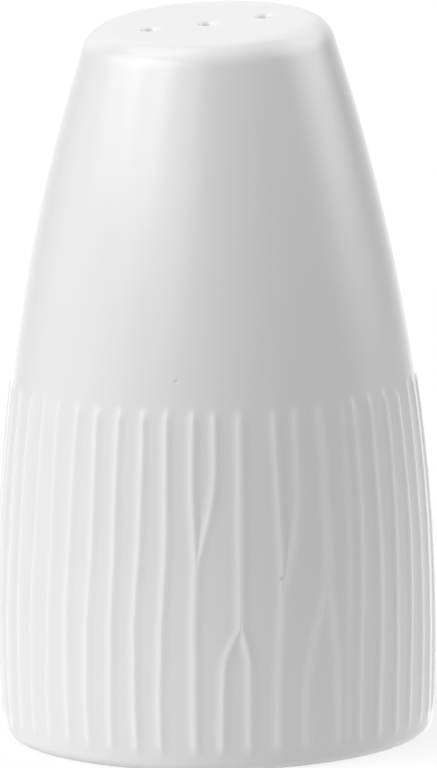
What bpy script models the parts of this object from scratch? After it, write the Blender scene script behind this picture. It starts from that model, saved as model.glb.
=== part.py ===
"""Pepper shaker of glazed porcelain: a cast hollow body with a ribbed lower half,
three pour holes in its crown, and a soft push-in stopper in its base.

Metres, +Z up. The origin is the middle of the foot plane, and the row of pour holes lies along X.
"""
import math

import bmesh
import bpy
import numpy as np
from mathutils import Matrix

MM = 0.001

# Outside of the body
BODY_HEIGHT = 76.0 * MM          # foot plane to the rim of the crown, before it leans
BELLY_RADIUS = 23.05 * MM        # widest radius, between the ribs
BELLY_HEIGHT = 12.5 * MM         # height of the widest place
CROWN_RADIUS = 10.35 * MM        # inside the rounding of the shoulder
SHOULDER_RADIUS = 3.2 * MM       # rounding between wall and crown
CROWN_DISH = 0.15 * MM           # how far the crown sinks in its middle
CROWN_LEAN = math.radians(2.7)   # the hand-finished crown is not quite level
LEAN_TOWARD = math.radians(20.0)  # plan angle of its high side
LEAN_START = 0.73                # where the lean begins, as a share of the height
FOOT_EDGE_RADIUS = 1.0 * MM      # rounding on both sides of the foot ring
FOOT_RING_WIDTH = 2.4 * MM       # flat ring that the shaker stands on
RECESS_FILLET = 0.8 * MM         # corner of the recess inside the foot ring

# Inside of the body
WALL = 3.2 * MM
CROWN_WALL = 3.6 * MM
BASE_WALL = 4.0 * MM
INNER_SHOULDER_RADIUS = 4.5 * MM
INNER_CORNER_RADIUS = 3.5 * MM   # between the inner floor and the wall
FILL_HOLE_RADIUS = 9.5 * MM
FILL_HOLE_EDGE = 0.5 * MM        # rounding at both ends of the filling hole

# Pour holes
POUR_HOLE_COUNT = 3
POUR_HOLE_RADIUS = 0.8 * MM
POUR_HOLE_PITCH = 6.3 * MM
POUR_HOLE_CHAMFER = 0.5 * MM     # glaze draws back from the edge of each hole

# Ribs: narrow crests stand on the wall, and wider flutes lie between them
RIB_PANELS = 3                   # the same run of ribs follows itself round the body
RIBS_PER_PANEL = 19
PANEL_START = math.radians(111.8)
RIB_HEIGHT = 0.16 * MM
RIB_REACH = 0.34                 # from a crest to its foot, in even widths of a flute
RIB_TWIST = math.radians(-2.2)   # how far the ribs turn from their top to their foot
RELIEF_TOP = 38.9 * MM
RELIEF_FOOT_BAND = 0.3 * MM      # plain band between the foot rounding and the ribs
RIB_END = 1.2 * MM               # length over which a rib runs out at each end
FAINT_RIB = 10                   # number in a panel of a rib that stands lower
FAINT_SHARE = 0.55               # of the full height
UNEVEN_FLUTES = (5, 9, 10)       # numbers in a panel of the flutes that are wider or narrower
UNEVEN_EXTRAS = (0.42, -0.04, -0.40)  # by so many even widths
FORK_FLUTES = (2, 6, 4, 8)       # numbers in a panel of the flutes that end in a fork
FORK_HEIGHTS = (22.4 * MM, 19.5 * MM, 15.5 * MM, 19.6 * MM)
FORK_LENGTHS = (11.0 * MM, 11.3 * MM, 4.6 * MM, 14.0 * MM)  # over which the two ribs draw together
FORK_WAYS = (1, 1, -1, -1)       # 1: open above its fork, -1: open below it
FORK_ROOMS = (0.80, 0.80, 0.92, 1.26)  # width of the flute where it is open
FORK_SHARES = (0.73, 0.94, 0.36, 0.45)  # of that room, what the flute on the right gives or takes
FORK_GAP = 0.05                  # what is left of the width between two joined ribs
RIB_SWAY = 0.03                  # how far a crest strays, in even widths
SWAY_LENGTH = 34.0 * MM

# Stopper
FLANGE_THICKNESS = 1.5 * MM
FLANGE_OVERLAP = 3.0 * MM        # flange beyond the filling hole
FLANGE_EDGE = 0.5 * MM
PLUG_LENGTH = 8.6 * MM
PLUG_RELIEF = 0.9 * MM           # side clearance between the plug and its hole
BEAD_COUNT = 2
BEAD_WIDTH = 1.3 * MM
LEAD_IN_LENGTH = 1.4 * MM
LEAD_IN_DEPTH = 0.7 * MM
STOPPER_WALL = 1.5 * MM

# Clearances
SEAT_GAP = 0.3 * MM              # between the flange and the recessed base
BEAD_GAP = 0.3 * MM              # between the beads and the filling hole
TABLE_GAP = 1.0 * MM             # the stopper stays clear of the table

# Fineness of the solids
SHOULDER_STEPS = 5
INNER_ARC_STEPS = 3
EDGE_STEPS = 2
BEAD_STEPS = 4
CROWN_RINGS = 4
PLAIN_WALL_RINGS = 7
RIB_RINGS = 16
INNER_WALL_RINGS = 5
RIB_COLUMNS = 3                  # crest, its foot, and the foot of the next crest
STOPPER_STEPS = 48
POUR_HOLE_STEPS = 16

# Worked out from the sizes above
RIB_COUNT = RIB_PANELS * RIBS_PER_PANEL
BODY_COLUMNS = RIB_COUNT * RIB_COLUMNS
GOLDEN_ANGLE = math.pi * (3.0 - math.sqrt(5.0))
FOOT_RECESS = SEAT_GAP + FLANGE_THICKNESS + TABLE_GAP
INNER_FLOOR = FOOT_RECESS + BASE_WALL
INNER_CROWN = BODY_HEIGHT - CROWN_WALL
MERGE_DISTANCE = 0.005 * MM
UP, OUT, DOWN, IN = math.pi / 2.0, 0.0, -math.pi / 2.0, -math.pi

# The whole side wall is one long arc, upright at the belly, that the shoulder's rounding touches
TAPER = BELLY_RADIUS - CROWN_RADIUS
RISE = BODY_HEIGHT - SHOULDER_RADIUS - BELLY_HEIGHT
WALL_ARC_RADIUS = (TAPER ** 2 + RISE ** 2 - SHOULDER_RADIUS ** 2) / (2.0 * (TAPER - SHOULDER_RADIUS))
WALL_CENTRE = (BELLY_RADIUS - WALL_ARC_RADIUS, BELLY_HEIGHT)


def clear_scene():
    """Remove every object of the scene that the script starts in."""
    for obj in list(bpy.data.objects):
        bpy.data.objects.remove(obj, do_unlink=True)


def make_collection(name):
    collection = bpy.data.collections.new(name)
    bpy.context.scene.collection.children.link(collection)
    return collection


def make_material(name, colour, roughness, metallic=0.0):
    """A plain Principled material from a linear colour."""
    material = bpy.data.materials.new(name)
    material.use_nodes = True
    shader = material.node_tree.nodes["Principled BSDF"]
    shader.inputs["Base Color"].default_value = (*colour, 1.0)
    shader.inputs["Roughness"].default_value = roughness
    shader.inputs["Metallic"].default_value = metallic
    return material


def arc(centre, radius, start, end, steps):
    """Points (r, z) along a circular arc, both ends included."""
    angles = np.linspace(start, end, steps + 1)
    return [(centre[0] + radius * math.cos(a), centre[1] + radius * math.sin(a)) for a in angles]


def wall_radius(height):
    """Radius of the outer wall arc at a height."""
    rise = height - WALL_CENTRE[1]
    return WALL_CENTRE[0] + np.sqrt(WALL_ARC_RADIUS ** 2 - rise ** 2)


def corner(height, radius, wall_arc):
    """Centre of a rounding that touches a wall arc from inside, and the angle where it does."""
    rise = height - WALL_CENTRE[1]
    reach = math.sqrt((wall_arc - radius) ** 2 - rise ** 2)
    return (WALL_CENTRE[0] + reach, height), math.atan2(rise, reach)


SHOULDER, SHOULDER_ANGLE = corner(BODY_HEIGHT - SHOULDER_RADIUS, SHOULDER_RADIUS, WALL_ARC_RADIUS)
FOOT_EDGE, FOOT_ANGLE = corner(FOOT_EDGE_RADIUS, FOOT_EDGE_RADIUS, WALL_ARC_RADIUS)
WALL_TOP = WALL_CENTRE[1] + WALL_ARC_RADIUS * math.sin(SHOULDER_ANGLE)
WALL_FOOT = WALL_CENTRE[1] + WALL_ARC_RADIUS * math.sin(FOOT_ANGLE)
RELIEF_FOOT = WALL_FOOT + RELIEF_FOOT_BAND


def crown_height(radius):
    """Height of the crown: a shallow dish that is level at its middle and at the shoulder."""
    sink = 0.5 + 0.5 * math.cos(math.pi * min(radius / CROWN_RADIUS, 1.0))
    return BODY_HEIGHT - CROWN_DISH * sink


def relief_heights():
    """Heights of the rings that carry the ribs, from the top down."""
    inner = np.linspace(RELIEF_TOP - RIB_END, RELIEF_FOOT + RIB_END, RIB_RINGS)
    return [RELIEF_TOP, *inner, RELIEF_FOOT]


def outer_profile():
    """Crown, shoulder, side wall and foot edge, from the axis outwards and down."""
    crown = [(r, crown_height(r)) for r in np.linspace(0.0, CROWN_RADIUS, CROWN_RINGS + 1)]
    shoulder = arc(SHOULDER, SHOULDER_RADIUS, UP, SHOULDER_ANGLE, SHOULDER_STEPS)
    plain = np.linspace(WALL_TOP, RELIEF_TOP, PLAIN_WALL_RINGS + 1)[1:-1]
    wall = [(wall_radius(z), z) for z in [*plain, *relief_heights()]]
    foot = arc(FOOT_EDGE, FOOT_EDGE_RADIUS, FOOT_ANGLE, DOWN, EDGE_STEPS)
    return crown[:-1] + shoulder + wall + foot


def base_profile():
    """Foot ring, recess and filling hole, from the outside inwards and up."""
    ring_inside = FOOT_EDGE[0] - FOOT_RING_WIDTH
    recess_radius = ring_inside - FOOT_EDGE_RADIUS
    ring = arc((ring_inside, FOOT_EDGE_RADIUS), FOOT_EDGE_RADIUS, DOWN, IN, EDGE_STEPS)
    fillet_centre = (recess_radius - RECESS_FILLET, FOOT_RECESS - RECESS_FILLET)
    fillet = arc(fillet_centre, RECESS_FILLET, OUT, UP, EDGE_STEPS)
    edge_radius = FILL_HOLE_RADIUS + FILL_HOLE_EDGE
    lower = arc((edge_radius, FOOT_RECESS + FILL_HOLE_EDGE), FILL_HOLE_EDGE, DOWN, IN, EDGE_STEPS)
    upper = arc((edge_radius, INNER_FLOOR - FILL_HOLE_EDGE), FILL_HOLE_EDGE, -IN, UP, EDGE_STEPS)
    return ring + fillet + lower + upper


def inner_profile():
    """Inner floor, wall and crown of the pepper chamber, from the floor up to the axis."""
    inner_arc = WALL_ARC_RADIUS - WALL
    low, low_angle = corner(INNER_FLOOR + INNER_CORNER_RADIUS, INNER_CORNER_RADIUS, inner_arc)
    high, high_angle = corner(INNER_CROWN - INNER_SHOULDER_RADIUS, INNER_SHOULDER_RADIUS, inner_arc)
    floor = arc(low, INNER_CORNER_RADIUS, DOWN, low_angle, INNER_ARC_STEPS)
    wall = arc(WALL_CENTRE, inner_arc, low_angle, high_angle, INNER_WALL_RINGS)
    shoulder = arc(high, INNER_SHOULDER_RADIUS, high_angle, UP, INNER_ARC_STEPS)
    return floor + wall[1:-1] + shoulder + [(0.0, INNER_CROWN)]


def turned_object(name, profile, steps, collection):
    """An object whose profile (r, z), drawn at +X, is turned about Z by a Screw modifier."""
    mesh = bpy.data.meshes.new(name)
    points = [(r, 0.0, z) for r, z in profile]
    mesh.from_pydata(points, [(i, i + 1) for i in range(len(points) - 1)], [])
    obj = bpy.data.objects.new(name, mesh)
    collection.objects.link(obj)
    screw = obj.modifiers.new("turn", "SCREW")
    screw.axis = "Z"
    screw.angle = 2.0 * math.pi
    screw.steps = steps
    screw.render_steps = steps
    screw.use_merge_vertices = True
    screw.merge_threshold = MERGE_DISTANCE
    screw.use_smooth_shade = True
    return obj


def apply_modifiers(obj):
    """Keep the evaluated mesh of an object as its own mesh."""
    evaluated = obj.evaluated_get(bpy.context.evaluated_depsgraph_get())
    mesh = bpy.data.meshes.new_from_object(evaluated)
    obj.modifiers.clear()
    obj.data = mesh


def smoothstep(value):
    clipped = np.clip(value, 0.0, 1.0)
    return clipped * clipped * (3.0 - 2.0 * clipped)


def flute_widths(heights):
    """Width of every flute at every height, in even widths.

    A forked flute opens along a quarter sine, and the flutes on its two sides make room for it.
    """
    panel = np.ones((len(heights), RIBS_PER_PANEL))
    panel[:, UNEVEN_FLUTES] += UNEVEN_EXTRAS
    forks = zip(FORK_FLUTES, FORK_HEIGHTS, FORK_LENGTHS, FORK_WAYS, FORK_ROOMS, FORK_SHARES)
    for number, fork, length, way, room, share in forks:
        opened = room * np.sin(UP * np.clip(way * (heights - fork) / length, 0.0, 1.0))
        spare = room - opened if way > 0 else -opened
        panel[:, number] = FORK_GAP + opened
        panel[:, (number + 1) % RIBS_PER_PANEL] += share * spare
        panel[:, (number - 1) % RIBS_PER_PANEL] += (1.0 - share) * spare
    turn = 2.0 * math.pi * heights[:, None] / SWAY_LENGTH + np.arange(RIB_COUNT) * GOLDEN_ANGLE
    stray = np.sin(turn + GOLDEN_ANGLE) - np.sin(turn)
    return np.tile(panel, (1, RIB_PANELS)) * (1.0 + RIB_SWAY * stray)


def rib_angles(heights, width):
    """Angle of each rib's crest at each height, and the angle across the flute after it."""
    span = 2.0 * math.pi * width / width.sum(axis=1, keepdims=True)
    twist = RIB_TWIST * (RELIEF_TOP - heights) / (RELIEF_TOP - RELIEF_FOOT)
    return np.cumsum(span, axis=1) - span + twist[:, None], span


def raise_ribs(mesh):
    """Slide the columns of the turned wall along the ribs and raise the crests."""
    points = np.empty(len(mesh.vertices) * 3)
    mesh.vertices.foreach_get("co", points)
    points = points.reshape(-1, 3)
    radius = np.hypot(points[:, 0], points[:, 1])
    height = points[:, 2]
    in_relief = (height > RELIEF_FOOT - MERGE_DISTANCE) & (height < RELIEF_TOP + MERGE_DISTANCE)
    ribbed = in_relief & (radius > wall_radius(height) - 0.5 * WALL)
    radius, height = radius[ribbed], height[ribbed]

    turn = np.arctan2(points[ribbed, 1], points[ribbed, 0]) / (2.0 * math.pi)
    column = np.rint(turn * BODY_COLUMNS).astype(int) % BODY_COLUMNS
    rib, part = np.divmod(column, RIB_COLUMNS)
    rows, row = np.unique(height, return_inverse=True)
    width = flute_widths(rows)
    crest, span = rib_angles(rows, width)
    width = width[row, rib]
    foot = np.minimum(RIB_REACH / width, 1.0 / RIB_COLUMNS)
    place = np.choose(part, (0.0 * foot, foot, 1.0 - foot))
    angle = crest[row, rib] + place * span[row, rib]

    distance = np.minimum(place, 1.0 - place) * width
    nearest = (rib + (part == RIB_COLUMNS - 1)) % RIBS_PER_PANEL
    stand = np.where(nearest == FAINT_RIB, FAINT_SHARE, 1.0)
    rise = stand * (1.0 - np.minimum(distance / RIB_REACH, 1.0)) ** 2
    run_out = np.minimum(RELIEF_TOP - height, height - RELIEF_FOOT) / RIB_END
    radius = radius + RIB_HEIGHT * np.clip(run_out, 0.0, 1.0) * rise
    points[ribbed, 0] = radius * np.cos(angle)
    points[ribbed, 1] = radius * np.sin(angle)
    mesh.vertices.foreach_set("co", points.ravel())
    mesh.transform(Matrix.Rotation(PANEL_START, 4, "Z"))
    mesh.update()


def lean(x, y, height):
    """How far the leaning crown lifts a place, or lowers it; nothing below the start of the lean."""
    start = LEAN_START * BODY_HEIGHT
    side = x * math.cos(LEAN_TOWARD) + y * math.sin(LEAN_TOWARD)
    return math.tan(CROWN_LEAN) * side * smoothstep((height - start) / (BODY_HEIGHT - start))


def lean_crown(mesh):
    """Let the top of the turned body lean."""
    points = np.empty(len(mesh.vertices) * 3)
    mesh.vertices.foreach_get("co", points)
    points = points.reshape(-1, 3)
    points[:, 2] += lean(*points.T)
    mesh.vertices.foreach_set("co", points.ravel())
    mesh.update()


def thin_columns(mesh):
    """Leave one column for each rib on every face but the ribbed wall."""
    bm = bmesh.new()
    bm.from_mesh(mesh)

    def column(vert):
        turn = math.atan2(vert.co.y, vert.co.x) * BODY_COLUMNS / (2.0 * math.pi)
        return round(turn) % BODY_COLUMNS

    def ribbed(vert):
        reach = math.hypot(vert.co.x, vert.co.y)
        low, high = RELIEF_FOOT - MERGE_DISTANCE, RELIEF_TOP + MERGE_DISTANCE
        return low < vert.co.z < high and reach > wall_radius(vert.co.z) - 0.5 * WALL

    def spare(edge):
        inner, outer = sorted(edge.verts, key=lambda v: math.hypot(v.co.x, v.co.y))
        if ribbed(inner) and ribbed(outer):
            return False
        on_axis = math.hypot(inner.co.x, inner.co.y) < MERGE_DISTANCE
        upright = on_axis or column(inner) == column(outer)
        return upright and column(outer) % RIB_COLUMNS != 0

    spare_edges = [edge for edge in bm.edges if spare(edge)]
    bmesh.ops.dissolve_edges(bm, edges=spare_edges, use_verts=True)
    bm.to_mesh(mesh)
    bm.free()


def pour_hole_cutters(collection):
    """One turned cutter for each pour hole, opening out at the crown and reaching into the chamber."""
    depth = CROWN_WALL + INNER_SHOULDER_RADIUS
    mouth = POUR_HOLE_RADIUS + 2.0 * POUR_HOLE_CHAMFER
    profile = [(0.0, POUR_HOLE_CHAMFER), (mouth, POUR_HOLE_CHAMFER),
               (POUR_HOLE_RADIUS, -POUR_HOLE_CHAMFER), (POUR_HOLE_RADIUS, -depth), (0.0, -depth)]
    cutters = []
    for number in range(POUR_HOLE_COUNT):
        offset = (number - 0.5 * (POUR_HOLE_COUNT - 1)) * POUR_HOLE_PITCH
        cutter = turned_object(f"pour_hole_{number + 1}", profile, POUR_HOLE_STEPS, collection)
        height = crown_height(abs(offset))
        cutter.location = (offset, 0.0, height + lean(offset, 0.0, height))
        cutter.hide_render = True
        cutter.display_type = "WIRE"
        cutters.append(cutter)
    return cutters


def make_body(collection, cutter_collection):
    """Hollow body, turned in one piece, with ribs raised, a leaning crown and pour holes cut."""
    profile = outer_profile() + base_profile() + inner_profile()
    body = turned_object("shaker_body", profile, BODY_COLUMNS, collection)
    apply_modifiers(body)
    thin_columns(body.data)
    raise_ribs(body.data)
    lean_crown(body.data)
    body.data.materials.append(make_material("glazed_porcelain", (0.84, 0.84, 0.83), 0.12))
    for cutter in pour_hole_cutters(cutter_collection):
        cut = body.modifiers.new(cutter.name, "BOOLEAN")
        cut.operation = "DIFFERENCE"
        cut.object = cutter
    return body


def stopper_profile():
    """Plug with its lead-in and beads, flange and hollow, with Z = 0 at the top of the flange."""
    core = FILL_HOLE_RADIUS - PLUG_RELIEF
    bead_rise = PLUG_RELIEF - BEAD_GAP
    flange = FILL_HOLE_RADIUS + FLANGE_OVERLAP
    plug = [(0.0, PLUG_LENGTH), (core - LEAD_IN_DEPTH, PLUG_LENGTH),
            (core, PLUG_LENGTH - LEAD_IN_LENGTH)]
    beads = []
    for number in range(BEAD_COUNT, 0, -1):
        middle = SEAT_GAP + BASE_WALL * number / (BEAD_COUNT + 1)
        for turn in np.linspace(UP, DOWN, BEAD_STEPS + 1):
            beads.append((core + bead_rise * math.cos(turn), middle + 0.5 * BEAD_WIDTH * math.sin(turn)))
    edge_radius = flange - FLANGE_EDGE
    upper = arc((edge_radius, -FLANGE_EDGE), FLANGE_EDGE, UP, OUT, EDGE_STEPS)
    lower = arc((edge_radius, FLANGE_EDGE - FLANGE_THICKNESS), FLANGE_EDGE, OUT, DOWN, EDGE_STEPS)
    hollow = core - STOPPER_WALL
    hollow_top = PLUG_LENGTH - STOPPER_WALL
    inside = [(hollow, -FLANGE_THICKNESS), (hollow, hollow_top - LEAD_IN_DEPTH),
              (hollow - LEAD_IN_DEPTH, hollow_top), (0.0, hollow_top)]
    return plug + beads + [(core, 0.0)] + upper + lower + inside


def make_stopper(collection):
    """Soft stopper, seated under the recessed base with its plug up in the filling hole."""
    stopper = turned_object("base_stopper", stopper_profile(), STOPPER_STEPS, collection)
    stopper.location = (0.0, 0.0, FOOT_RECESS - SEAT_GAP)
    stopper.data.materials.append(make_material("soft_polyethylene", (0.70, 0.70, 0.67), 0.45))
    return stopper


def main():
    clear_scene()
    parts = make_collection("pepper_shaker")
    cutters = make_collection("pepper_shaker_cutters")
    frame = bpy.data.objects.new("foot_centre", None)
    parts.objects.link(frame)
    for piece in (make_body(parts, cutters), make_stopper(parts)):
        piece.parent = frame


main()
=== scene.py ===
"""Looks of a porcelain pepper shaker: its glazed body, its stopper, a plain studio and the camera.

Metres, +Z up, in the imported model's frame: the origin is the middle of the foot plane, and the row
of pour holes lies along X. Both pieces take the place of their solids and repeat their sizes, with
finer ribs, roundings and pour holes.
"""
import math

import bmesh
import bpy
import numpy as np
from mathutils import Matrix, Vector


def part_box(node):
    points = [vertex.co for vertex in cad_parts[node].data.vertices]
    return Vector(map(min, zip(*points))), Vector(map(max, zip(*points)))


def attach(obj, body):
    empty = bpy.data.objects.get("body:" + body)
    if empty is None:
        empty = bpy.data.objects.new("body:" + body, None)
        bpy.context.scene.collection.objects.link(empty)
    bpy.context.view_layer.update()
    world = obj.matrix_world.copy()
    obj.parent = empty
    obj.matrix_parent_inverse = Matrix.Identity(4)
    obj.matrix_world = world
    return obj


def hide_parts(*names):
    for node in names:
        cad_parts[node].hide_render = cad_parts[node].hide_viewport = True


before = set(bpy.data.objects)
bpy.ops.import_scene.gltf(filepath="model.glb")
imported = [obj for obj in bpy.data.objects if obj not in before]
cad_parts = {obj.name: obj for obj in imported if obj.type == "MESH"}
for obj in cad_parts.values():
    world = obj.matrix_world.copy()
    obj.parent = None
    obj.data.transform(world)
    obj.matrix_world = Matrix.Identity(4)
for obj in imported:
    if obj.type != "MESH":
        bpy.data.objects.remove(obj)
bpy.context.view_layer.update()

MM = 0.001

# Outside of the body
BODY_HEIGHT = 76.0 * MM          # foot plane to the rim of the crown, before it leans
BELLY_RADIUS = 23.05 * MM        # widest radius, between the ribs
BELLY_HEIGHT = 12.5 * MM         # height of the widest place
CROWN_RADIUS = 10.35 * MM        # inside the rounding of the shoulder
SHOULDER_RADIUS = 3.2 * MM       # rounding between wall and crown
CROWN_DISH = 0.15 * MM           # how far the crown sinks in its middle
CROWN_LEAN = math.radians(2.7)   # the hand-finished crown is not quite level
LEAN_TOWARD = math.radians(20.0)     # plan angle of its high side
LEAN_START = 0.73 * BODY_HEIGHT
FOOT_EDGE_RADIUS = 1.0 * MM      # rounding on both sides of the foot ring
FOOT_RING_WIDTH = 2.4 * MM
RECESS_FILLET = 0.8 * MM

# Inside of the body
WALL = 3.2 * MM
CROWN_WALL = 3.6 * MM
BASE_WALL = 4.0 * MM
INNER_SHOULDER_RADIUS = 4.5 * MM
INNER_CORNER_RADIUS = 3.5 * MM
FILL_HOLE_RADIUS = 9.5 * MM
FILL_HOLE_EDGE = 0.5 * MM
CEILING_RADIUS = 8.6 * MM        # how far the pour holes' share of the ceiling reaches

# Pour holes
POUR_HOLE_RADIUS = 0.8 * MM
POUR_HOLE_PITCH = 6.3 * MM
POUR_HOLE_EDGE = 0.5 * MM        # rounding where the glaze draws back from the hole
POUR_HOLE_BURR = 0.2 * MM        # smaller rounding at the ceiling

# Ribs: narrow crests stand on the wall, and wider flutes lie between them
RIB_PANELS = 3                   # the same run of ribs follows itself round the body
RIBS_PER_PANEL = 19
PANEL_START = math.radians(111.8)
RIB_HEIGHT = 0.16 * MM
RIB_REACH = 0.34                 # from a crest to its foot, in even widths of a flute
RIB_SOFTNESS = 0.10              # rounding of the crest, in even widths
RIB_TWIST = math.radians(-2.2)   # how far the ribs turn from their top to their foot
RELIEF_TOP = 38.9 * MM
RELIEF_FOOT_BAND = 0.3 * MM
RIB_END = 1.7 * MM               # length over which a rib runs out at each end
FAINT_RIB = 10                   # number in a panel of a rib that stands lower
FAINT_SHARE = 0.55               # of the full height
UNEVEN_FLUTES = (5, 9, 10)       # numbers in a panel of the flutes that are wider or narrower
UNEVEN_EXTRAS = (0.42, -0.04, -0.40)     # by so many even widths
FORK_FLUTES = (2, 6, 4, 8)       # numbers in a panel of the flutes that end in a fork
FORK_HEIGHTS = (22.4 * MM, 19.5 * MM, 15.5 * MM, 19.6 * MM)
FORK_LENGTHS = (11.0 * MM, 11.3 * MM, 4.6 * MM, 14.0 * MM)   # over which the two ribs draw together
FORK_WAYS = (1, 1, -1, -1)       # 1: open above its fork, -1: open below it
FORK_ROOMS = (0.80, 0.80, 0.92, 1.26)    # width of the flute where it is open
FORK_SHARES = (0.73, 0.94, 0.36, 0.45)   # of that room, what the flute on the right gives or takes
FORK_GAP = 0.05                  # what is left of the width between two joined ribs
RIB_SWAY = 0.03                  # how far a crest strays, in even widths
SWAY_LENGTH = 34.0 * MM

# Stopper
FLANGE_THICKNESS = 1.5 * MM
FLANGE_EDGE = 0.5 * MM
PLUG_RELIEF = 0.9 * MM
BEAD_COUNT = 2
BEAD_WIDTH = 1.3 * MM
LEAD_IN_LENGTH = 1.4 * MM
LEAD_IN_DEPTH = 0.7 * MM
STOPPER_WALL = 1.5 * MM
SEAT_GAP = 0.3 * MM
BEAD_GAP = 0.3 * MM
STOPPER_SOFTNESS = 0.3 * MM      # its small roundings
LEAD_IN_ANGLE = 0.45             # where the rounding of the plug's top passes into the lead-in

# Rows and columns of the meshes
SHOULDER_STEPS = 12
WALL_ROWS = 15                   # on the plain wall, between shoulder and ribs
RIB_ROWS = 48                    # along the ribs, between their ends
RIB_END_ROWS = 7
FOOT_STEPS = 7
RING_STEPS = 5
HIDDEN_STEPS = 3                 # on the roundings of recess, filling hole and chamber
CHAMBER_STEPS = 4                # up the inner wall
CUT_STEPS = 40                   # along a cut between two pour holes' shares of the crown
MOUTH_STEPS = 6                  # round the edge of a pour hole
CEILING_SHARES = (1.0, 0.4, 0.0)     # of the way from a pour hole to the outline of its share
CROWN_SHARES = (0.0, 0.06, 0.16, 0.32, 0.52, 0.76, 1.0)
PLUG_TOP_STEPS = 5
BEAD_STEPS = 12
FLANGE_STEPS = 6
SOFT_STEPS = 4                   # on the stopper's other small roundings
STOPPER_COLUMNS = 192

# Worked out from the sizes above
HOLE_OFFSETS = (-POUR_HOLE_PITCH, 0.0, POUR_HOLE_PITCH)
BARE_HEIGHT = 0.5 * FOOT_EDGE_RADIUS     # how far up the foot ring the glaze was wiped off
RIB_COUNT = RIB_PANELS * RIBS_PER_PANEL
RIB_STEPS = np.array((0.0, 0.04, 0.09, 0.16, 0.26, 0.40))    # columns from a crest, in even widths
RIB_COLUMNS = 2 * len(RIB_STEPS)
COLUMNS = RIB_COUNT * RIB_COLUMNS
FIRST_COLUMN = round(PANEL_START / (2.0 * math.pi) * COLUMNS)
GOLDEN_ANGLE = math.pi * (3.0 - math.sqrt(5.0))
STOPPER_LOW, STOPPER_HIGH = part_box("base_stopper")
FOOT_RECESS = STOPPER_LOW.z + FLANGE_THICKNESS + SEAT_GAP
INNER_FLOOR = FOOT_RECESS + BASE_WALL
INNER_CROWN = BODY_HEIGHT - CROWN_WALL
UP, OUT, DOWN, IN = math.pi / 2.0, 0.0, -math.pi / 2.0, -math.pi
MERGE_DISTANCE = 0.001 * MM

# The whole side wall is one long arc, upright at the belly, that the shoulder's rounding touches
TAPER = BELLY_RADIUS - CROWN_RADIUS
RISE = BODY_HEIGHT - SHOULDER_RADIUS - BELLY_HEIGHT
WALL_ARC_RADIUS = (TAPER ** 2 + RISE ** 2 - SHOULDER_RADIUS ** 2) / (2.0 * (TAPER - SHOULDER_RADIUS))
WALL_CENTRE = (BELLY_RADIUS - WALL_ARC_RADIUS, BELLY_HEIGHT)


def corner(height, radius, wall_arc):
    """Centre of a rounding that touches a wall arc from inside, and the angle where it does."""
    rise = height - WALL_CENTRE[1]
    reach = math.sqrt((wall_arc - radius) ** 2 - rise ** 2)
    return (WALL_CENTRE[0] + reach, height), math.atan2(rise, reach)


SHOULDER, SHOULDER_ANGLE = corner(BODY_HEIGHT - SHOULDER_RADIUS, SHOULDER_RADIUS, WALL_ARC_RADIUS)
FOOT_EDGE, FOOT_ANGLE = corner(FOOT_EDGE_RADIUS, FOOT_EDGE_RADIUS, WALL_ARC_RADIUS)
WALL_TOP = WALL_CENTRE[1] + WALL_ARC_RADIUS * math.sin(SHOULDER_ANGLE)
WALL_FOOT = WALL_CENTRE[1] + WALL_ARC_RADIUS * math.sin(FOOT_ANGLE)
RELIEF_FOOT = WALL_FOOT + RELIEF_FOOT_BAND
INNER_ARC = WALL_ARC_RADIUS - WALL
INNER_LOW, INNER_LOW_ANGLE = corner(INNER_FLOOR + INNER_CORNER_RADIUS, INNER_CORNER_RADIUS, INNER_ARC)
INNER_HIGH, INNER_HIGH_ANGLE = corner(INNER_CROWN - INNER_SHOULDER_RADIUS, INNER_SHOULDER_RADIUS,
                                      INNER_ARC)


def smoothstep(value):
    """Rises from 0 at 0 to 1 at 1, level at both ends: 3 v^2 - 2 v^3."""
    clipped = np.clip(value, 0.0, 1.0)
    return clipped * clipped * (3.0 - 2.0 * clipped)


def arc(centre, radius, start, end, steps):
    """Points (r, z) evenly along a circular arc, both ends included."""
    turn = np.linspace(start, end, steps + 1)
    return np.stack((centre[0] + radius * np.cos(turn), centre[1] + radius * np.sin(turn)), axis=1)


def wall_points(heights):
    """Points (r, z) of the outer wall arc: r is the arc's centre plus root(arc^2 - rise^2)."""
    rise = heights - WALL_CENTRE[1]
    radius = WALL_CENTRE[0] + np.sqrt(WALL_ARC_RADIUS ** 2 - rise ** 2)
    return np.stack((radius, heights), axis=1)


def crown_height(radius):
    """Height of the crown: a shallow dish, a half cosine wave from the middle to the shoulder."""
    share = np.minimum(radius / CROWN_RADIUS, 1.0)
    return BODY_HEIGHT - CROWN_DISH * (0.5 + 0.5 * np.cos(np.pi * share))


def ceiling_height(radius):
    """Height of the chamber's ceiling: flat, then the circle of the inner shoulder."""
    over = np.maximum(radius - INNER_HIGH[0], 0.0)
    return INNER_HIGH[1] + np.sqrt(INNER_SHOULDER_RADIUS ** 2 - over ** 2)


# Body

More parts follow.
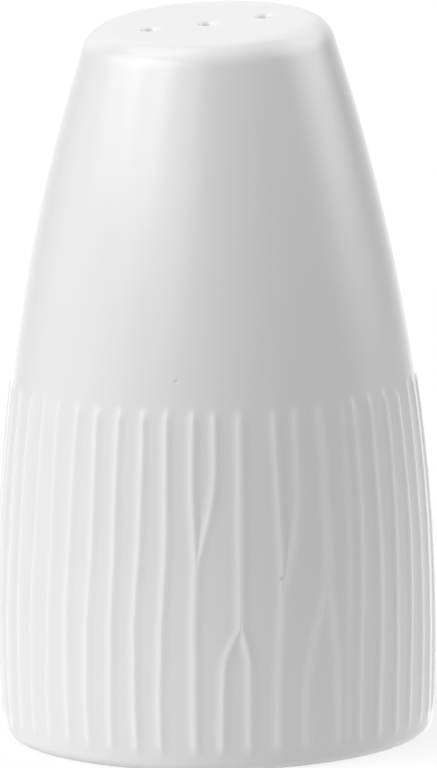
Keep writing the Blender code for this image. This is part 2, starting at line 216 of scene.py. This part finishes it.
def flute_widths(heights):
    """Width of every flute at every height, in even widths.

    A forked flute opens along a quarter sine, and the flutes on its two sides make room for it.
    A small sine for every crest then lets the ribs stray.
    """
    panel = np.ones((len(heights), RIBS_PER_PANEL))
    panel[:, UNEVEN_FLUTES] += UNEVEN_EXTRAS
    forks = zip(FORK_FLUTES, FORK_HEIGHTS, FORK_LENGTHS, FORK_WAYS, FORK_ROOMS, FORK_SHARES)
    for number, fork, length, way, room, share in forks:
        opened = room * np.sin(UP * np.clip(way * (heights - fork) / length, 0.0, 1.0))
        spare = room - opened if way > 0 else -opened
        panel[:, number] = FORK_GAP + opened
        panel[:, (number + 1) % RIBS_PER_PANEL] += share * spare
        panel[:, (number - 1) % RIBS_PER_PANEL] += (1.0 - share) * spare
    turn = 2.0 * math.pi * heights[:, None] / SWAY_LENGTH + np.arange(RIB_COUNT) * GOLDEN_ANGLE
    stray = np.sin(turn + GOLDEN_ANGLE) - np.sin(turn)
    return np.tile(panel, (1, RIB_PANELS)) * (1.0 + RIB_SWAY * stray)


def rib_angles(heights, width):
    """Angle of each rib's crest at each height, and the angle across the flute after it."""
    span = 2.0 * math.pi * width / width.sum(axis=1, keepdims=True)
    twist = RIB_TWIST * (RELIEF_TOP - heights) / (RELIEF_TOP - RELIEF_FOOT)
    return np.cumsum(span, axis=1) - span + twist[:, None], span


def rib_rise(distance):
    """Height of a rib, in full heights, at a distance from its crest in even widths.

    A parabola that is level at the foot. The root of (distance^2 + softness^2), less the softness,
    rounds the crest.
    """
    def eased(value):
        """Distance from the crest with a rounded start."""
        return np.sqrt(value ** 2 + RIB_SOFTNESS ** 2) - RIB_SOFTNESS
    return (1.0 - np.minimum(eased(distance) / eased(RIB_REACH), 1.0)) ** 2


def lean_crown(points):
    """Lift or lower points by how far they lie to the leaning side, from nothing at the start of the
    lean up to the whole lean at the crown along a smooth step.
    """
    x, y, height = np.moveaxis(points, -1, 0)
    side = x * math.cos(LEAN_TOWARD) + y * math.sin(LEAN_TOWARD)
    share = smoothstep((height - LEAN_START) / (BODY_HEIGHT - LEAN_START))
    return np.stack((x, y, height + math.tan(CROWN_LEAN) * side * share), axis=-1)


def relief_heights():
    """Heights of the rows that carry the ribs, from the top down, closer where the ribs run out."""
    top = np.linspace(RELIEF_TOP, RELIEF_TOP - RIB_END, RIB_END_ROWS)
    foot = np.linspace(RELIEF_FOOT + RIB_END, RELIEF_FOOT, RIB_END_ROWS)
    return np.concatenate((top, np.linspace(top[-1], foot[0], RIB_ROWS)[1:-1], foot))


def body_profile():
    """Points (r, z) of the turned body, from the edge of the crown down the outside, under the foot,
    through the filling hole and up inside to the ceiling, with each row's evenness and bareness.

    Evenness is 0 where the columns follow the ribs and 1 where they are evenly spread. Bareness falls
    along a smooth step from 1 at the foot plane to 0 where the glaze begins.
    """
    shoulder = arc(SHOULDER, SHOULDER_RADIUS, UP, SHOULDER_ANGLE, SHOULDER_STEPS)
    plain = wall_points(np.linspace(WALL_TOP, RELIEF_TOP, WALL_ROWS)[1:-1])
    relief = wall_points(relief_heights())
    foot = arc(FOOT_EDGE, FOOT_EDGE_RADIUS, FOOT_ANGLE, DOWN, FOOT_STEPS)

    ring_inside = FOOT_EDGE[0] - FOOT_RING_WIDTH
    recess = ring_inside - FOOT_EDGE_RADIUS
    ring = arc((ring_inside, FOOT_EDGE_RADIUS), FOOT_EDGE_RADIUS, DOWN, IN, RING_STEPS)
    fillet = arc((recess - RECESS_FILLET, FOOT_RECESS - RECESS_FILLET), RECESS_FILLET, OUT, UP,
                 HIDDEN_STEPS)
    edge = FILL_HOLE_RADIUS + FILL_HOLE_EDGE
    lower = arc((edge, FOOT_RECESS + FILL_HOLE_EDGE), FILL_HOLE_EDGE, DOWN, IN, HIDDEN_STEPS)
    upper = arc((edge, INNER_FLOOR - FILL_HOLE_EDGE), FILL_HOLE_EDGE, -IN, UP, HIDDEN_STEPS)

    floor = arc(INNER_LOW, INNER_CORNER_RADIUS, DOWN, INNER_LOW_ANGLE, HIDDEN_STEPS)
    wall = arc(WALL_CENTRE, INNER_ARC, INNER_LOW_ANGLE, INNER_HIGH_ANGLE, CHAMBER_STEPS)[1:-1]
    ceiling_angle = math.acos((CEILING_RADIUS - INNER_HIGH[0]) / INNER_SHOULDER_RADIUS)
    inner_shoulder = arc(INNER_HIGH, INNER_SHOULDER_RADIUS, INNER_HIGH_ANGLE, ceiling_angle,
                         HIDDEN_STEPS)

    outside = np.concatenate((shoulder, plain, relief, foot))
    under = np.concatenate((ring, fillet, lower, upper, floor, wall, inner_shoulder))
    spread = smoothstep((outside[:, 1] - RELIEF_TOP) / (WALL_TOP - RELIEF_TOP))
    even = np.concatenate((spread, np.ones(len(under))))
    points = np.concatenate((outside, under))
    on_ring = points[:, 0] > recess - MERGE_DISTANCE
    bare = on_ring * smoothstep(1.0 - points[:, 1] / BARE_HEIGHT)
    return points, even, bare


def body_grid():
    """The turned body as one closed grid: rows run along the profile and columns round the axis,
    sliding along the ribs, and the ribs rise from the outer wall.
    """
    profile, even, bare = body_profile()
    radius, height = profile.T
    level = np.clip(height, RELIEF_FOOT, RELIEF_TOP)
    width = flute_widths(level)
    crest, span = rib_angles(level, width)
    steps = RIB_STEPS * np.minimum(width, 1.0)[:, :, None]
    middle = 0.5 * width[:, :, None]
    from_left = np.concatenate((steps, middle, width[:, :, None] - steps[:, :, :0:-1]), axis=2)
    along_ribs = PANEL_START + crest[:, :, None] + from_left / width[:, :, None] * span[:, :, None]
    along_ribs = along_ribs.reshape(len(height), -1)
    evenly = 2.0 * math.pi * (np.arange(along_ribs.shape[1]) + FIRST_COLUMN) / COLUMNS
    angle = along_ribs + (evenly - along_ribs) * even[:, None]

    on_wall = radius > wall_points(level)[:, 0] - 0.5 * WALL
    run_out = smoothstep(np.minimum(RELIEF_TOP - height, height - RELIEF_FOOT) / RIB_END) * on_wall
    stand = np.where(np.arange(RIB_COUNT) % RIBS_PER_PANEL == FAINT_RIB, FAINT_SHARE, 1.0)
    left = stand[:, None] * rib_rise(from_left)
    right = np.roll(stand, -1)[:, None] * rib_rise(width[:, :, None] - from_left)
    rib = run_out[:, None] * np.maximum(left, right).reshape(angle.shape)
    reach = radius[:, None] + RIB_HEIGHT * rib
    points = np.stack((reach * np.cos(angle), reach * np.sin(angle),
                       np.broadcast_to(height[:, None], reach.shape)), axis=2)
    return lean_crown(points), rib, np.broadcast_to(bare[:, None], reach.shape)


def crown_outlines():
    """Outlines on the unit circle of each pour hole's share of the crown, counter-clockwise.

    An outline follows the body's columns round the circle, and straight cuts part one hole's share
    from the next. The cuts run between the columns nearest to half way between two holes.
    """
    first = round(math.acos(0.5 * POUR_HOLE_PITCH / CROWN_RADIUS) / (2.0 * math.pi) * COLUMNS)
    half = COLUMNS // 2

    def rim(start, end):
        """Points on the circle from one column to another."""
        turn = 2.0 * math.pi * np.arange(start, end + 1) / COLUMNS
        return np.stack((np.cos(turn), np.sin(turn)), axis=1)

    def cut(start, end):
        """Points evenly along the straight line between two columns, without its ends."""
        return np.linspace(rim(start, start)[0], rim(end, end)[0], CUT_STEPS + 1)[1:-1]

    left = (rim(half - first, half + first), cut(half + first, half - first))
    middle = (rim(first, half - first), cut(half - first, half + first),
              rim(half + first, COLUMNS - first), cut(COLUMNS - first, first))
    right = (rim(-first, first), cut(first, -first))
    return [np.concatenate(parts) for parts in (left, middle, right)]


def pour_hole_grid(outline, offset):
    """A pour hole with its share of the ceiling and the crown, as one closed grid.

    Columns stand at the directions from the hole to its outline. Rows run in over the ceiling, up
    the hole, round a quarter circle at its mouth and out over the crown.
    """
    centre = np.array((offset, 0.0))
    direction = CROWN_RADIUS * outline - centre
    direction /= np.linalg.norm(direction, axis=1, keepdims=True)

    def ring(radius):
        """The hole's circle of a radius, at the columns' directions."""
        return centre + radius * direction

    def blend(inside, outside, shares):
        """A row for each share of the way from an inner outline to an outer one."""
        return inside + (outside - inside) * np.array(shares)[:, None, None]

    mouth = POUR_HOLE_RADIUS + POUR_HOLE_EDGE
    burr = POUR_HOLE_RADIUS + POUR_HOLE_BURR
    quarter = np.linspace(0.0, UP, MOUTH_STEPS + 1)

    ceiling = blend(ring(burr), CEILING_RADIUS * outline, CEILING_SHARES)
    ceiling_z = ceiling_height(np.linalg.norm(ceiling, axis=2))
    crown = blend(ring(mouth), CROWN_RADIUS * outline, CROWN_SHARES)
    crown_z = crown_height(np.linalg.norm(crown, axis=2))

    burr_flat = np.stack([ring(burr - POUR_HOLE_BURR * math.sin(turn)) for turn in quarter[2::2]])
    burr_z = ceiling_z[-1] + POUR_HOLE_BURR * (1.0 - np.cos(quarter[2::2]))[:, None]
    mouth_flat = np.stack([ring(mouth - POUR_HOLE_EDGE * math.cos(turn)) for turn in quarter[:-1]])
    mouth_z = crown_z[0] - POUR_HOLE_EDGE * (1.0 - np.sin(quarter[:-1]))[:, None]

    flat = np.concatenate((ceiling, burr_flat, mouth_flat, crown))
    height = np.concatenate((ceiling_z, burr_z, mouth_z, crown_z))
    points = np.concatenate((flat, height[:, :, None]), axis=2)
    nothing = np.zeros(height.shape)
    return lean_crown(points), nothing, nothing


# Stopper

def stopper_profile():
    """Points (r, z) of the stopper from the top of its plug out and down over lead-in, beads and
    flange, and up inside its hollow. Each bead is half an ellipse.
    """
    seat = STOPPER_LOW.z + FLANGE_THICKNESS
    top, flange = STOPPER_HIGH.z, STOPPER_HIGH.x
    core = FILL_HOLE_RADIUS - PLUG_RELIEF
    soft = STOPPER_SOFTNESS
    lead = core - LEAD_IN_DEPTH
    plug_edge = arc((lead - soft, top - soft), soft, UP, LEAD_IN_ANGLE, PLUG_TOP_STEPS)
    plug = np.concatenate(([(0.0, top), (0.6 * lead, top)], plug_edge, [(core, top - LEAD_IN_LENGTH)]))
    turn = np.linspace(UP, DOWN, BEAD_STEPS + 1)
    beads = []
    for number in range(BEAD_COUNT, 0, -1):
        middle = seat + SEAT_GAP + BASE_WALL * number / (BEAD_COUNT + 1)
        beads.append(np.stack((core + (PLUG_RELIEF - BEAD_GAP) * np.cos(turn),
                               middle + 0.5 * BEAD_WIDTH * np.sin(turn)), axis=1))
    root = arc((core + soft, seat + soft), soft, -IN, UP - IN, SOFT_STEPS)
    edge = flange - FLANGE_EDGE
    upper = arc((edge, seat - FLANGE_EDGE), FLANGE_EDGE, UP, OUT, FLANGE_STEPS)
    lower = arc((edge, STOPPER_LOW.z + FLANGE_EDGE), FLANGE_EDGE, OUT, DOWN, FLANGE_STEPS)
    hollow = core - STOPPER_WALL
    hollow_top = top - STOPPER_WALL
    mouth = arc((hollow + soft, STOPPER_LOW.z + soft), soft, DOWN, IN, SOFT_STEPS)
    dome = arc((hollow - LEAD_IN_DEPTH, hollow_top - LEAD_IN_DEPTH), LEAD_IN_DEPTH, OUT, UP,
               FLANGE_STEPS)
    roof = [(0.5 * hollow, hollow_top), (0.0, hollow_top)]
    return np.concatenate((plug, *beads, root, upper, lower, mouth, dome, roof))


def stopper_grid():
    """The stopper's profile carried round the axis as one closed grid."""
    radius, height = stopper_profile().T
    angle = 2.0 * math.pi * np.arange(STOPPER_COLUMNS) / STOPPER_COLUMNS
    return np.stack((radius[:, None] * np.cos(angle), radius[:, None] * np.sin(angle),
                     np.broadcast_to(height[:, None], (len(height), STOPPER_COLUMNS))), axis=2)


# Pieces

def grid_faces(rows, columns, first):
    """Corner numbers of a grid's quads. Every grid closes on itself after its last column."""
    row = np.arange(rows - 1)[:, None] * columns
    column = np.arange(columns)
    following = (column + 1) % columns
    quads = np.stack((row + column, row + columns + column, row + columns + following, row + following),
                     axis=2)
    return first + quads.reshape(-1, 4)


def add_piece(name, grids, attributes, material, body, node):
    """One welded mesh from grids of points, with an attribute for each further layer of the grids."""
    points = np.concatenate([grid[0].reshape(-1, 3) for grid in grids])
    faces, first = [], 0
    for grid in grids:
        rows, columns = grid[0].shape[:2]
        faces.append(grid_faces(rows, columns, first))
        first += rows * columns
    mesh = bpy.data.meshes.new(name)
    mesh.from_pydata(points.tolist(), [], np.concatenate(faces).tolist())
    for layer, label in enumerate(attributes, start=1):
        values = np.concatenate([grid[layer].ravel() for grid in grids])
        mesh.attributes.new(label, "FLOAT", "POINT").data.foreach_set("value", values)
    welded = bmesh.new()
    welded.from_mesh(mesh)
    bmesh.ops.remove_doubles(welded, verts=welded.verts, dist=MERGE_DISTANCE)
    welded.to_mesh(mesh)
    welded.free()
    mesh.shade_smooth()
    mesh.materials.append(material)
    piece = bpy.data.objects.new(name, mesh)
    bpy.context.scene.collection.objects.link(piece)
    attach(piece, body)
    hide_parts(node)


# Materials

def linear(code):
    """Linear colour, with alpha, of an sRGB hex code."""
    values = [int(code[place:place + 2], 16) / 255.0 for place in (1, 3, 5)]
    return [v / 12.92 if v <= 0.04045 else ((v + 0.055) / 1.055) ** 2.4 for v in values] + [1.0]


def add(tree, kind, inputs=None, **settings):
    """Add a node with its settings, and give its inputs values or links by name or number."""
    made = tree.nodes.new("ShaderNode" + kind)
    for field, value in settings.items():
        setattr(made, field, value)
    for socket, value in (inputs or {}).items():
        if isinstance(value, bpy.types.NodeSocket):
            tree.links.new(value, made.inputs[socket])
        else:
            made.inputs[socket].default_value = value
    return made


def new_material(name):
    """A material with an empty node tree."""
    material = bpy.data.materials.new(name)
    material.use_nodes = True
    tree = material.node_tree
    tree.nodes.clear()
    return material, tree


def glazed_porcelain():
    """Slip-cast porcelain under a clear glossy glaze, fired on a bare foot ring.

    The eye gets a neutral white with a very slow change of tone, a touch whiter where the glaze thins
    on the ribs, a few pin-sized pits, gloss that wavers a little, and a matt biscuit ring.
    """
    material, tree = new_material("glazed_porcelain")
    place = add(tree, "TexCoord").outputs["Object"]
    slow = add(tree, "TexNoise", {"Vector": place, "Scale": 1.0 / (25.0 * MM), "Detail": 2.0})
    tone = add(tree, "Mix", {0: slow.outputs[0], 6: linear("#ECECEC"), 7: linear("#F0F0F0")},
               data_type="RGBA")
    rib = add(tree, "Attribute", attribute_name="rib")
    glaze = add(tree, "Mix", {0: rib.outputs["Fac"], 6: tone.outputs[2], 7: linear("#F6F6F6")},
                data_type="RGBA")

    # Pits of about 0.45 mm, in one of eight cells, a little wider than real ones so that they show
    cells = add(tree, "TexVoronoi", {"Vector": place, "Scale": 1.0 / (9.0 * MM)})
    pit = add(tree, "MapRange", {0: cells.outputs["Distance"], 1: 0.035, 2: 0.015, 3: 0.0, 4: 1.0},
              interpolation_type="SMOOTHSTEP")
    chosen = add(tree, "SeparateColor", {0: cells.outputs["Color"]})
    few = add(tree, "Math", {0: chosen.outputs[0], 1: 0.88}, operation="GREATER_THAN")
    pits = add(tree, "Math", {0: pit.outputs[0], 1: few.outputs[0]}, operation="MULTIPLY")
    faint = add(tree, "Math", {0: pits.outputs[0], 1: 0.5}, operation="MULTIPLY")
    spotted = add(tree, "Mix", {0: faint.outputs[0], 6: glaze.outputs[2], 7: linear("#C9C8C4")},
                  data_type="RGBA")

    bare = add(tree, "Attribute", attribute_name="bare")
    ragged = add(tree, "TexNoise", {"Vector": place, "Scale": 1.0 / (1.5 * MM), "Detail": 2.0})
    line = add(tree, "Math", {0: bare.outputs["Fac"], 1: ragged.outputs[0]}, operation="ADD")
    biscuit = add(tree, "MapRange", {0: line.outputs[0], 1: 1.0, 2: 1.1},
                  interpolation_type="SMOOTHSTEP")
    colour = add(tree, "Mix", {0: biscuit.outputs[0], 6: spotted.outputs[2], 7: linear("#E2DED6")},
                 data_type="RGBA")

    waver = add(tree, "TexNoise", {"Vector": place, "Scale": 1.0 / (4.0 * MM), "Detail": 3.0})
    gloss = add(tree, "MapRange", {0: waver.outputs[0], 1: 0.3, 2: 0.7, 3: 0.06, 4: 0.10})
    rough = add(tree, "Mix", {0: biscuit.outputs[0], 2: gloss.outputs[0], 3: 0.75}, data_type="FLOAT")

    swell = add(tree, "TexNoise", {"Vector": place, "Scale": 1.0 / (7.0 * MM), "Detail": 1.0})
    glaze_bump = add(tree, "Bump", {"Height": swell.outputs[0], "Distance": 0.03 * MM})
    pit_bump = add(tree, "Bump", {"Height": pits.outputs[0], "Distance": 0.03 * MM,
                                  "Normal": glaze_bump.outputs[0]}, invert=True)
    # The biscuit's grit is drawn coarser than it is, so that it shows
    grit = add(tree, "TexNoise", {"Vector": place, "Scale": 1.0 / (0.3 * MM), "Detail": 2.0})
    grain = add(tree, "Math", {0: grit.outputs[0], 1: biscuit.outputs[0]}, operation="MULTIPLY")
    grain_bump = add(tree, "Bump", {"Height": grain.outputs[0], "Distance": 0.05 * MM,
                                    "Normal": pit_bump.outputs[0]})

    shader = add(tree, "BsdfPrincipled", {
        "Base Color": colour.outputs[2], "Roughness": rough.outputs[0], "IOR": 1.55,
        "Normal": grain_bump.outputs[0]})
    add(tree, "OutputMaterial", {"Surface": shader.outputs[0]})
    return material


def soft_polyethylene():
    """Injection-moulded soft polyethylene with no pigment: milky, satin, slightly waxy.

    The eye gets a cloudy off-white, a fine spark-eroded mould texture and a few flow swirls.
    """
    material, tree = new_material("soft_polyethylene")
    place = add(tree, "TexCoord").outputs["Object"]
    cloud = add(tree, "TexNoise", {"Vector": place, "Scale": 1.0 / (6.0 * MM), "Detail": 2.0,
                                   "Distortion": 0.8})
    colour = add(tree, "Mix", {0: cloud.outputs[0], 6: linear("#D6D6D1"), 7: linear("#DEDDD8")},
                 data_type="RGBA")
    # The mould texture is drawn coarser than it is, so that it shows
    fine = add(tree, "TexNoise", {"Vector": place, "Scale": 1.0 / (0.35 * MM), "Detail": 2.0})
    rough = add(tree, "MapRange", {0: fine.outputs[0], 1: 0.3, 2: 0.7, 3: 0.38, 4: 0.52})
    bump = add(tree, "Bump", {"Height": fine.outputs[0], "Distance": 0.02 * MM})
    shader = add(tree, "BsdfPrincipled", {
        "Base Color": colour.outputs[2], "Roughness": rough.outputs[0], "IOR": 1.51,
        "Subsurface Weight": 0.2, "Subsurface Scale": 1.0 * MM, "Normal": bump.outputs[0]})
    add(tree, "OutputMaterial", {"Surface": shader.outputs[0]})
    return material


def floor_paper():
    """Plain matt white paper that keeps the shaker's shadow.

    The eye gets white with a faint tooth, because what the light leaves short of white is added. It
    is partly clear, and wholly so from below, so that the stopper shows when it is drawn out.
    """
    material, tree = new_material("floor_paper")
    place = add(tree, "TexCoord").outputs["Object"]
    # The paper's tooth is drawn coarser than it is, so that it shows
    tooth = add(tree, "TexNoise", {"Vector": place, "Scale": 1.0 / (0.8 * MM), "Detail": 2.0})
    colour = add(tree, "Mix", {0: tooth.outputs[0], 6: linear("#D2D2D2"), 7: linear("#D6D6D6")},
                 data_type="RGBA")
    paper = add(tree, "BsdfPrincipled", {"Base Color": colour.outputs[2], "Roughness": 0.9})
    white = add(tree, "Emission", {"Strength": FLOOR_GLOW})
    lit = add(tree, "AddShader", {0: paper.outputs[0], 1: white.outputs[0]})
    below = add(tree, "NewGeometry").outputs["Backfacing"]
    through = add(tree, "Math", {0: below, 1: FLOOR_CLEAR}, operation="MAXIMUM")
    clear = add(tree, "BsdfTransparent")
    surface = add(tree, "MixShader", {0: through.outputs[0], 1: lit.outputs[0], 2: clear.outputs[0]})
    add(tree, "OutputMaterial", {"Surface": surface.outputs[0]})
    material.cycles.emission_sampling = "NONE"
    return material


# Studio

VIEW_AZIMUTH = math.radians(-18.0)   # the camera looks along +Y turned by this about Z
VIEW_ELEVATION = math.radians(11.3)
VIEW_ROLL = math.radians(-0.9)
VIEW_DISTANCE = 1.9                  # a long lens, as the photograph's sides hardly converge
PIXELS_PER_METRE = 9450.0            # at the middle of the shaker
IMAGE_SIZE = (437.0, 768.0)
MIDDLE_PIXEL = (213.2, 375.4)        # where the middle of the shaker falls in the image
SENSOR = 36.0
FLOOR_GLOW = 0.34                    # what the lit paper lacks of white
FLOOR_CLEAR = 0.6                    # share of what lies below that shows through it
FLOOR_RADII = (0.0, 0.1, 0.5, 2.0)
FLOOR_COLUMNS = 48
FLOOR_DROP = 0.05 * MM               # below the foot, so that the two never share a plane

# Soft lights far away in the world: azimuth from the camera's side, positive to its right, elevation,
# strength, and how far from its middle each is full and where it ends, all angles in degrees
SOFT_LIGHTS = (
    (-30.0, 30.0, 1.6, 5.0, 28.0),      # a long one on the left, from front to back
    (-58.0, 32.0, 2.5, 5.0, 28.0),
    (-86.0, 32.0, 1.95, 5.0, 28.0),
    (-58.0, 58.0, 1.3, 5.0, 28.0),      # over it, overhead and behind it
    (-60.0, 80.0, 0.45, 5.0, 40.0),
    (-122.0, 64.0, 1.5, 12.0, 24.0),
    (107.0, 31.0, 1.8, 5.0, 38.0),      # a weaker one behind on the right
    (104.0, 26.0, 1.2, 4.0, 26.0),
    (138.0, 38.0, 0.6, 8.0, 26.0))
FLOOR_LIGHT = (0.0, -90.0, 0.75, 70.0, 92.0)     # the same of what a pale floor throws back
BACKDROP = (180.0, 20.0, 0.9, 20.0, 50.0)        # and of the white that only reflections show,
FLOOR_WHITE = (0.0, -90.0, 0.25, 70.0, 92.0)     # behind the shaker and under it


def toward(azimuth, elevation):
    """Unit vector at an azimuth from the camera's side, positive to its right, and an elevation."""
    turn = VIEW_AZIMUTH - 0.5 * math.pi + math.radians(azimuth)
    rise = math.radians(elevation)
    return Vector((math.cos(turn) * math.cos(rise), math.sin(turn) * math.cos(rise), math.sin(rise)))


def add_camera():
    """Camera at the photograph's angle. It aims beside the shaker's middle by the offset in pixels."""
    middle = Vector((0.0, 0.0, 0.5 * BODY_HEIGHT))
    back = toward(0.0, math.degrees(VIEW_ELEVATION))
    turn = (-back).to_track_quat("-Z", "Y").to_matrix().to_4x4() @ Matrix.Rotation(VIEW_ROLL, 4, "Z")
    right, up = turn.col[0].to_3d(), turn.col[1].to_3d()
    across = (0.5 * IMAGE_SIZE[0] - MIDDLE_PIXEL[0]) / PIXELS_PER_METRE
    above = (MIDDLE_PIXEL[1] - 0.5 * IMAGE_SIZE[1]) / PIXELS_PER_METRE
    data = bpy.data.cameras.new("camera")
    data.sensor_width = SENSOR
    data.lens = SENSOR * PIXELS_PER_METRE * VIEW_DISTANCE / max(IMAGE_SIZE)
    camera = bpy.data.objects.new("camera", data)
    place = middle + back * VIEW_DISTANCE + right * across + up * above
    camera.matrix_world = Matrix.Translation(place) @ turn
    bpy.context.scene.collection.objects.link(camera)
    bpy.context.scene.camera = camera


def add_floor():
    """A wide disc of paper under the foot, as a grid of rings.

    Only the camera sees it. The world throws its light back at the shaker, also from below.
    """
    radius = np.array(FLOOR_RADII)[:, None]
    angle = 2.0 * math.pi * np.arange(FLOOR_COLUMNS) / FLOOR_COLUMNS
    shape = (len(FLOOR_RADII), FLOOR_COLUMNS)
    points = np.stack((radius * np.cos(angle), radius * np.sin(angle), np.full(shape, -FLOOR_DROP)),
                      axis=2)
    mesh = bpy.data.meshes.new("floor")
    mesh.from_pydata(points.reshape(-1, 3).tolist(), [], grid_faces(*shape, 0).tolist())
    mesh.validate()     # the innermost ring is one point
    mesh.materials.append(floor_paper())
    floor = bpy.data.objects.new("floor", mesh)
    bpy.context.scene.collection.objects.link(floor)
    floor.visible_diffuse = floor.visible_glossy = False
    floor.visible_transmission = floor.visible_shadow = False


def add_world():
    """Soft lights to all but the camera, and a white backdrop.

    The camera sees white all round. Reflections also show white where backdrop and floor stand.
    """
    world = bpy.data.worlds.new("studio")
    bpy.context.scene.world = world
    world.use_nodes = True
    tree = world.node_tree
    tree.nodes.clear()
    path = add(tree, "LightPath").outputs
    ray = add(tree, "TexCoord").outputs["Generated"]

    def glow(azimuth, elevation, strength, core, reach):
        """A round glow: full inside its core, and down along a smooth step to nothing at its reach."""
        aim = add(tree, "VectorMath", {0: ray, 1: toward(azimuth, elevation)}, operation="DOT_PRODUCT")
        spot = add(tree, "MapRange", {0: aim.outputs["Value"], 1: math.cos(math.radians(reach)),
                                      2: math.cos(math.radians(core)), 4: strength},
                   interpolation_type="SMOOTHSTEP")
        return spot.outputs[0]

    mirrored = add(tree, "Math", {0: path["Is Glossy Ray"], 1: path["Is Transmission Ray"]},
                   operation="MAXIMUM")
    white = add(tree, "Math", {0: glow(*BACKDROP), 1: glow(*FLOOR_WHITE)}, operation="ADD")
    total = add(tree, "Math", {0: mirrored.outputs[0], 1: white.outputs[0]}, operation="MULTIPLY")
    for light in (*SOFT_LIGHTS, FLOOR_LIGHT):
        total = add(tree, "Math", {0: total.outputs[0], 1: glow(*light)}, operation="ADD")
    level = add(tree, "Mix", {0: path["Is Camera Ray"], 2: total.outputs[0], 3: 1.0}, data_type="FLOAT")
    sky = add(tree, "Background", {"Color": linear("#FFFFFF"), "Strength": level.outputs[0]})
    add(tree, "OutputWorld", {"Surface": sky.outputs[0]})


holes = zip(crown_outlines(), HOLE_OFFSETS)
body_grids = [body_grid(), *(pour_hole_grid(outline, offset) for outline, offset in holes)]
add_piece("porcelain_body", body_grids, ("rib", "bare"), glazed_porcelain(), "body", "shaker_body")
add_piece("plastic_stopper", [(stopper_grid(),)], (), soft_polyethylene(), "stopper", "base_stopper")

add_camera()
add_floor()
add_world()
bpy.context.scene.view_settings.view_transform = "Standard"
